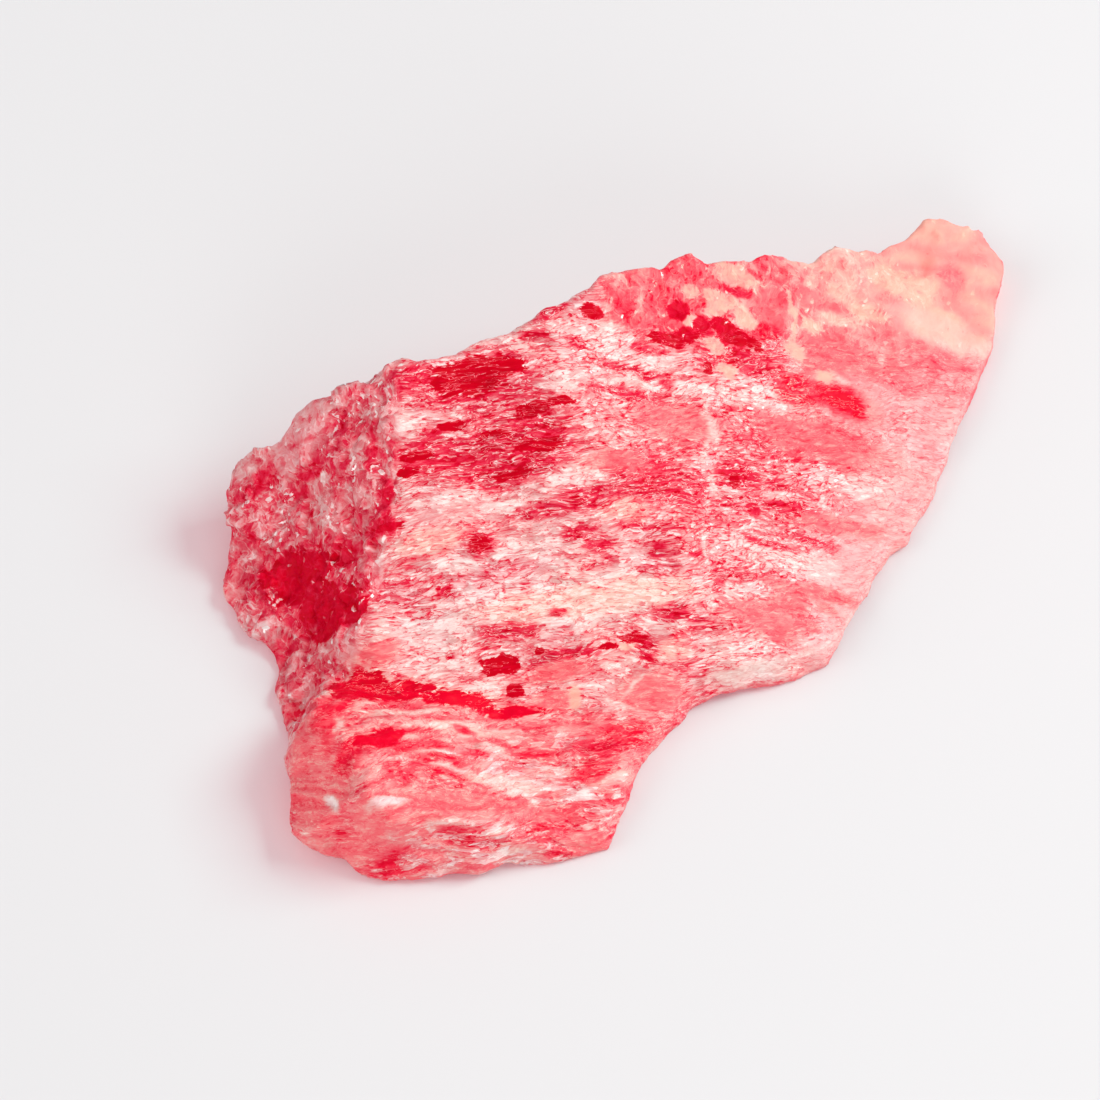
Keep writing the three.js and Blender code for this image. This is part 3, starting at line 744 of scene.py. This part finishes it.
def colour_ramp(tree, value, stops):
    node = tree.nodes.new("ShaderNodeValToRGB")
    ramp = node.color_ramp
    while len(ramp.elements) < len(stops):
        ramp.elements.new(0.5)
    for element, (position, colour) in zip(ramp.elements, stops):
        element.position = position
        element.color = (*colour, 1.0)
    join(tree, value, node.inputs[0])
    return node.outputs["Color"]


print(len(COOL_TONES) + len(WARM_TONES), "colours")

# %% Helpers for the finish
def attribute(tree, name, output="Fac"):
    return put(tree, "ShaderNodeAttribute", {"attribute_name": name}, output)


def centred(tree, value, strength):
    return times(tree, maths(tree, "SUBTRACT", value, 0.5), strength)


def bent_by(tree, place, stretch, reach, shift):
    bend = noise(tree, place, stretch, 0.0, 0.5, shift, "Color")
    bend = vector_maths(tree, "MULTIPLY", vector_maths(tree, "SUBTRACT", bend, (0.5, 0.5, 0.5)), reach)
    return vector_maths(tree, "ADD", place, bend)


def random_flakes(tree, place, stretch, shift):
    moved = vector_maths(tree, "MULTIPLY_ADD", place, stretch, (shift, -shift, shift))
    return put(tree, "ShaderNodeTexVoronoi", {"feature": "F1"}, "Color", Vector=moved, Scale=1.0)


def crack_lines(tree, place, stretch, width, shift):
    moved = vector_maths(tree, "MULTIPLY_ADD", place, stretch, (shift, -shift, shift))
    settings = {"feature": "DISTANCE_TO_EDGE"}
    away = put(tree, "ShaderNodeTexVoronoi", settings, "Distance", Vector=moved, Scale=1.0)
    return ramped(tree, away, 0.0, width, 1.0, 0.0)


def contour(tree, value, level, width):
    away = maths(tree, "ABSOLUTE", maths(tree, "SUBTRACT", value, level))
    return ramped(tree, away, 0.0, width, 1.0, 0.0)


def parts(tree, colour):
    node = put(tree, "ShaderNodeSeparateXYZ", Vector=colour).node
    return node.outputs["X"], node.outputs["Y"], node.outputs["Z"]


def mixed(tree, share, first, second, kind="FLOAT"):
    node = tree.nodes.new("ShaderNodeMix")
    node.data_type = kind
    join(tree, share, node.inputs["Factor"])
    for socket, value in (("A", first), ("B", second)):
        join(tree, value, next(one for one in node.inputs if one.name == socket and one.enabled))
    return next(one for one in node.outputs if one.enabled)


print("helpers for the finish are ready")

# %% [markdown]
# On the silky face the cleavage flakes are long and thin, so one noise is stretched along the grain for the
# streaks, and Voronoi cells of the same shape give single flakes and slivers. White and red lines follow
# the level lines of a calmer noise, as height lines do on a map, which makes them run on and fork. They lie
# side by side, so the white lines are partly painted highlights on the flakes' edges and the red line
# beside them is partly painted shade; the red lines also take the cracks between flakes.

# %% Fibres of the silky face
FLAKE_STRETCH = (2.2, 5.6, 4.0)  # cells to a millimetre along, across and down
SLIVER_STRETCH = (6.5, 14.0, 9.0)
WHITE_LEVELS = (0.54, 0.62)
RED_LEVEL = 0.48
LINE_WIDTH = 0.02  # in the noise's own height
CRACK_WIDTH = 0.13  # as a share of a flake


def fibre_pattern(tree, place, lined):
    flow = bent_by(tree, place, (3.0, 6.0, 4.0), (0.15, 0.05, 0.05), 13.0)
    streaks = noise(tree, flow, (3.2, 7.5, 5.0), 3.5, 0.78, 7.0)
    long_lines = noise(tree, flow, (1.1, 5.5, 3.5), 2.0, 0.6, 19.0)
    jagged = vector_maths(tree, "MULTIPLY_ADD", (0.4, 0.16, 0.12), centred(tree, streaks, 1.0), flow)
    flakes = random_flakes(tree, jagged, FLAKE_STRETCH, 1.0)
    cracks = times(tree, crack_lines(tree, jagged, FLAKE_STRETCH, CRACK_WIDTH, 1.0), lined)
    bright, dark, shiny = parts(tree, random_flakes(tree, jagged, SLIVER_STRETCH, 8.0))
    flake_tone, flecks = parts(tree, flakes)[:2]
    # Painted highlight and shade on the flake edges: white lines next to a red line, which also takes the
    # cracks.
    white_lines_and_highlights = total(tree, *(contour(tree, long_lines, level, LINE_WIDTH) for level in WHITE_LEVELS))
    red_lines_and_shade = total(tree, contour(tree, long_lines, RED_LEVEL, LINE_WIDTH), times(tree, cracks, 0.8))
    tone = total(
        tree, centred(tree, streaks, 0.9), centred(tree, flake_tone, 0.2),
        ramped(tree, bright, 0.86, 0.90, 0.0, 0.26), ramped(tree, dark, 0.88, 0.92, 0.0, -0.24),
    )
    return tone, flakes, flecks, white_lines_and_highlights, red_lines_and_shade, ramped(tree, shiny, 0.987, 0.993)


print("flakes are", [round(1 / cells, 2) for cells in FLAKE_STRETCH], "mm long, wide and deep")

# %% Grains of the glassy end
CHIP_STRETCH = (4.4, 3.4, 4.4)
GLINT_STRETCH = (11.0, 8.0, 11.0)
FEW_GLINTS = 0.98  # a cell glints where its random number is above this
MANY_GLINTS = 0.93


def grain_pattern(tree, spot, clustered):
    specks = noise(tree, spot, (4.6, 3.8, 4.6), 3.0, 0.75, 12.0)
    threads = noise(tree, spot, (1.7, 1.1, 1.7), 2.0, 0.6, 17.0)
    jagged = vector_maths(tree, "MULTIPLY_ADD", (0.25, 0.25, 0.25), centred(tree, specks, 1.0), spot)
    chips = random_flakes(tree, jagged, CHIP_STRETCH, 5.0)
    bright, dark, shiny = parts(tree, random_flakes(tree, jagged, GLINT_STRETCH, 3.0))
    threshold = ramped(tree, clustered, 0.0, 1.0, FEW_GLINTS, MANY_GLINTS)
    glints = ramped(tree, bright, threshold, total(tree, threshold, 0.02))
    # Painted glints: the glints are painted white into the tone, and they also set where the coat shines.
    tone = total(
        tree, centred(tree, specks, 0.9), centred(tree, parts(tree, chips)[0], 0.22),
        times(tree, contour(tree, threads, 0.5, 0.018), 0.18), times(tree, glints, 0.45),
        ramped(tree, dark, 0.90, 0.93, 0.0, -0.2),
    )
    return tone, chips, specks, times(tree, glints, ramped(tree, shiny, 0.4, 0.5))


print("glints are", [round(1 / cells, 2) for cells in GLINT_STRETCH], "mm across")

# %% [markdown]
# The two patterns meet where the silky face ends. Added to the tone of the marks they give the stone's tone,
# which also holds painted light: painted glints, pale edge highlights and painted shade in the hollows.
# Clear glass and cream stains are mixed in with ragged edges. The facets tilt the normal a little, so that
# each flake catches the light by itself, and a thin coat with a high index gives the few that shine.

# %% Tone of the finish
def finish_tone(tree, tone, pattern, lines, flecks, grainy, busy):
    return total(
        tree, tone, times(tree, total(tree, pattern, lines), busy),
        times(tree, flecks, total(tree, 0.2, times(tree, pattern, 0.5))),
        # Painted highlight and shade: the stored height makes crests paler and hollows darker, most on the
        # silky face.
        times(tree, attribute(tree, "relief"), ramped(tree, grainy, 0.0, 0.5, 1.3, 0.5)),
    )


def ragged_share(tree, share, smooth, low, high, sharper, softer=0.3):
    low = total(tree, low, times(tree, smooth, -sharper))
    return ramped(tree, share, low, total(tree, high, times(tree, smooth, softer)))


def with_glass_and_stains(tree, tone, pattern, white_lines_and_highlights, grainy, silky, smooth):
    edge = times(tree, pattern, 0.6)
    stained = total(tree, attribute(tree, "stained"), edge)
    stained = ragged_share(tree, stained, smooth, 0.36, 0.66, 0.3)
    clear = maths(tree, "SUBTRACT", attribute(tree, "clear"), edge)
    clear = ragged_share(tree, clear, smooth, 0.46, 0.62, 0.4)
    in_stain = total(tree, 0.55, times(tree, tone, 0.3), times(tree, pattern, grainy, 0.3))
    line_tone = maths(tree, "SUBTRACT", 0.55, times(tree, attribute(tree, "lobe"), 0.5))
    in_window = total(
        tree, ramped(tree, grainy, 0.0, 1.0, -0.04, 0.10), times(tree, pattern, 0.5),
        times(tree, white_lines_and_highlights, silky, line_tone),
    )
    return mixed(tree, clear, mixed(tree, stained, tone, in_stain), in_window)


print("the tone is ready to be mixed")

# %% The stone
STONE = {
    "Coat Roughness": 0.08, "Coat IOR": 2.2, "IOR": 1.6, "Specular IOR Level": 0.02,
    "Subsurface Weight": 0.3, "Subsurface Radius": (1.0, 0.7, 0.7), "Subsurface Scale": 0.5 * MM,
}


def stone_material():
    material = bpy.data.materials.new("rhodonite stone")
    material.use_nodes = True
    tree = material.node_tree
    tree.nodes.clear()
    grainy = ramped(tree, attribute(tree, "grainy"), 0.0, 1.0)
    silky = maths(tree, "SUBTRACT", 1.0, grainy)
    smooth = attribute(tree, "smooth")
    busy = maths(tree, "SUBTRACT", 1.0, smooth)

    fibres, flakes, flecks, white_lines_and_highlights, red_lines_and_shade, shiny = fibre_pattern(
        tree, attribute(tree, "flow", "Vector"), attribute(tree, "lined"))
    grains, chips, specks, glints = grain_pattern(
        tree, attribute(tree, "crumpled", "Vector"), attribute(tree, "clustered"))
    pattern = mixed(tree, grainy, fibres, grains)
    tone = attribute(tree, "tone")
    lines = total(
        tree, times(tree, white_lines_and_highlights, ramped(tree, tone, 0.25, 0.75, 0.5, 0.08)),
        times(tree, red_lines_and_shade, ramped(tree, tone, 0.25, 0.75, -0.06, -0.34)),
    )
    lines = times(tree, lines, silky)
    flecks = times(tree, ramped(tree, flecks, 0.6, 0.7), attribute(tree, "flecked"))
    tone = finish_tone(tree, tone, pattern, lines, flecks, grainy, busy)
    tone = with_glass_and_stains(tree, tone, pattern, white_lines_and_highlights, grainy, silky, smooth)
    warmth = maths(tree, "SUBTRACT", attribute(tree, "warmth"), times(tree, flecks, 0.4))
    warmth = put(tree, "ShaderNodeClamp", Value=warmth)
    cool = colour_ramp(tree, tone, COOL_TONES)
    warm = colour_ramp(tree, tone, WARM_TONES)

    tilt = vector_maths(tree, "SUBTRACT", mixed(tree, grainy, flakes, chips, "VECTOR"), (0.5, 0.5, 0.5))
    tilt = vector_maths(tree, "SCALE", tilt, times(tree, ramped(tree, grainy, 0.0, 1.0, 0.5, 0.8), busy))
    normal = put(tree, "ShaderNodeNewGeometry", output="Normal")
    facing = vector_maths(tree, "NORMALIZE", vector_maths(tree, "ADD", normal, tilt))
    sparkle = mixed(tree, grainy, times(tree, shiny, 0.45), glints)
    made = {
        "Base Color": mixed(tree, warmth, cool, warm, "RGBA"),
        "Roughness": ramped(tree, specks, 0.35, 0.65, 0.25, 0.5, False),
        "Normal": facing,
        "Coat Weight": times(tree, sparkle, ramped(tree, smooth, 0.1, 0.45, 1.0, 0.0)),
        "Coat Normal": facing,
    }
    shader = tree.nodes.new("ShaderNodeBsdfPrincipled")
    for name, value in {**made, **STONE}.items():
        join(tree, value, shader.inputs[name])
    surface = tree.nodes.new("ShaderNodeOutputMaterial")
    join(tree, shader.outputs[0], surface.inputs["Surface"])
    return material


stone = stone_material()
print("the finish has", len(stone.node_tree.nodes), "nodes")

# %% [markdown]
# ## Put the relief on and attach the piece
# The tree's inputs are set by their identifiers, the result becomes a plain mesh, and the points are
# scaled back to metres. They are kept inside the solid's box, which also presses the underside flat where it
# would go below the surface it lies on.

# %% Relief on the chip
relief = chip.modifiers.new("relief", "NODES")
relief.node_group = tree
for item in tree.interface.items_tree:
    if item.in_out == "INPUT" and item.name in RELIEF_SIZES:
        relief[item.identifier] = RELIEF_SIZES[item.name]
    if item.in_out == "INPUT" and item.name == "Finish":
        relief[item.identifier] = stone
with_modifiers_applied(chip)

placed = np.empty(len(chip.data.vertices) * 3)
chip.data.vertices.foreach_get("co", placed)
placed = placed.reshape(-1, 3)
placed = np.clip(placed, np.array(cad_low) / MM, np.array(cad_high) / MM)
chip.data.vertices.foreach_set("co", (placed * MM).ravel())
chip.data.update()
chip.name = "rhodonite_stone"
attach(chip, "root")
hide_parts("rhodonite")
print("relief moved points by up to", round(float(np.abs(placed - points).max()), 2), "mm")

# %% [markdown]
# ## Floor, light and camera
# A pale floor, a soft light from the right, two weaker ones and a bright sky keep the shadows short and the
# veil bright. Light that has passed through this stone is red, so the key light is two lamps in one place:
# the chip casts the shadow of the first, and the second, in the stone's colour, passes through it. Light
# linking can do that, where real refraction would need many more samples. The camera looks down at 55
# degrees through a long lens, so that the chip is hardly distorted.

# %% Floor
FLOOR_REACH = 3.0
PAPER = (0.69, 0.683, 0.69)


def plain_material(name, colour, roughness):
    material = bpy.data.materials.new(name)
    material.use_nodes = True
    shader = material.node_tree.nodes["Principled BSDF"]
    shader.inputs["Base Color"].default_value = (*colour, 1.0)
    shader.inputs["Roughness"].default_value = roughness
    shader.inputs["Specular IOR Level"].default_value = 0.0
    return material


floor_mesh = bpy.data.meshes.new("floor")
corners = ((-1, -1), (1, -1), (1, 1), (-1, 1))
corners = [(right * FLOOR_REACH, back * FLOOR_REACH, 0) for right, back in corners]
floor_mesh.from_pydata(corners, [], [(0, 1, 2, 3)])
floor_mesh.materials.append(plain_material("pale paper", PAPER, 0.9))
floor = bpy.data.objects.new("floor", floor_mesh)
bpy.context.scene.collection.objects.link(floor)
print("the floor is", 2 * FLOOR_REACH, "m wide")

# %% Lights
SKY = 0.48
# Power in watts, the rest in metres. Each softbox faces the chip.
SOFTBOXES = {
    "key": {"power": 0.68, "width": 0.14, "right": 0.2, "back": 0.04, "height": 0.19},
    "left fill": {"power": 0.3, "width": 0.2, "right": -0.25, "back": -0.05, "height": 0.16},
    "front fill": {"power": 0.3, "width": 0.2, "right": 0.05, "back": -0.28, "height": 0.1},
}
THROUGH_STONE = (0.55, 0.12, 0.18)  # the share of each colour that passes through the chip
SKY_COLOUR = (1.0, 0.99, 0.99, 1.0)


def softbox(name, power, width, right, back, height, colour=(1.0, 1.0, 1.0)):
    light = bpy.data.lights.new(name, "AREA")
    light.energy = power
    light.color = colour
    light.shape = "SQUARE"
    light.size = width
    lamp = bpy.data.objects.new(name, light)
    lamp.location = (right, back, height)
    lamp.rotation_mode = "QUATERNION"
    lamp.rotation_quaternion = (-lamp.location).to_track_quat("-Z", "Y")
    bpy.context.scene.collection.objects.link(lamp)
    return lamp


held_back = tuple(1 - share for share in THROUGH_STONE)
softbox("key", **SOFTBOXES["key"], colour=held_back)
for name in ("left fill", "front fill"):
    softbox(name, **SOFTBOXES[name])
passing = softbox("key through the stone", **SOFTBOXES["key"], colour=THROUGH_STONE)
blockers = bpy.data.collections.new("blocks the light that passes through stone")
blockers.objects.link(floor)
passing.light_linking.blocker_collection = blockers
world = bpy.data.worlds.new("studio")
world.use_nodes = True
world.node_tree.nodes["Background"].inputs["Color"].default_value = SKY_COLOUR
world.node_tree.nodes["Background"].inputs["Strength"].default_value = SKY
bpy.context.scene.world = world
bpy.context.scene.view_settings.view_transform = "Standard"
print("lights:", ", ".join(SOFTBOXES), "and the sky")

# %% Camera
AIM = Vector((-1.96, 0.64, 0)) * MM
ELEVATION = math.radians(55)
DISTANCE = 0.6
SEEN_WIDTH = 33 * MM
SENSOR_WIDTH = 36  # Blender counts the sensor and the lens in millimetres

lens = bpy.data.cameras.new("camera")
lens.sensor_width = SENSOR_WIDTH
lens.lens = SENSOR_WIDTH * DISTANCE / SEEN_WIDTH
lens.clip_start = 0.01
lens.clip_end = 50
camera = bpy.data.objects.new("camera", lens)
toward = Vector((0, -math.cos(ELEVATION), math.sin(ELEVATION)))
camera.location = AIM + DISTANCE * toward
camera.rotation_mode = "QUATERNION"
camera.rotation_quaternion = (-toward).to_track_quat("-Z", "Y")
bpy.context.scene.collection.objects.link(camera)
bpy.context.scene.camera = camera
print("the camera sees", round(SEEN_WIDTH / MM), "mm across")

# %% Update the scene
bpy.context.view_layer.update()
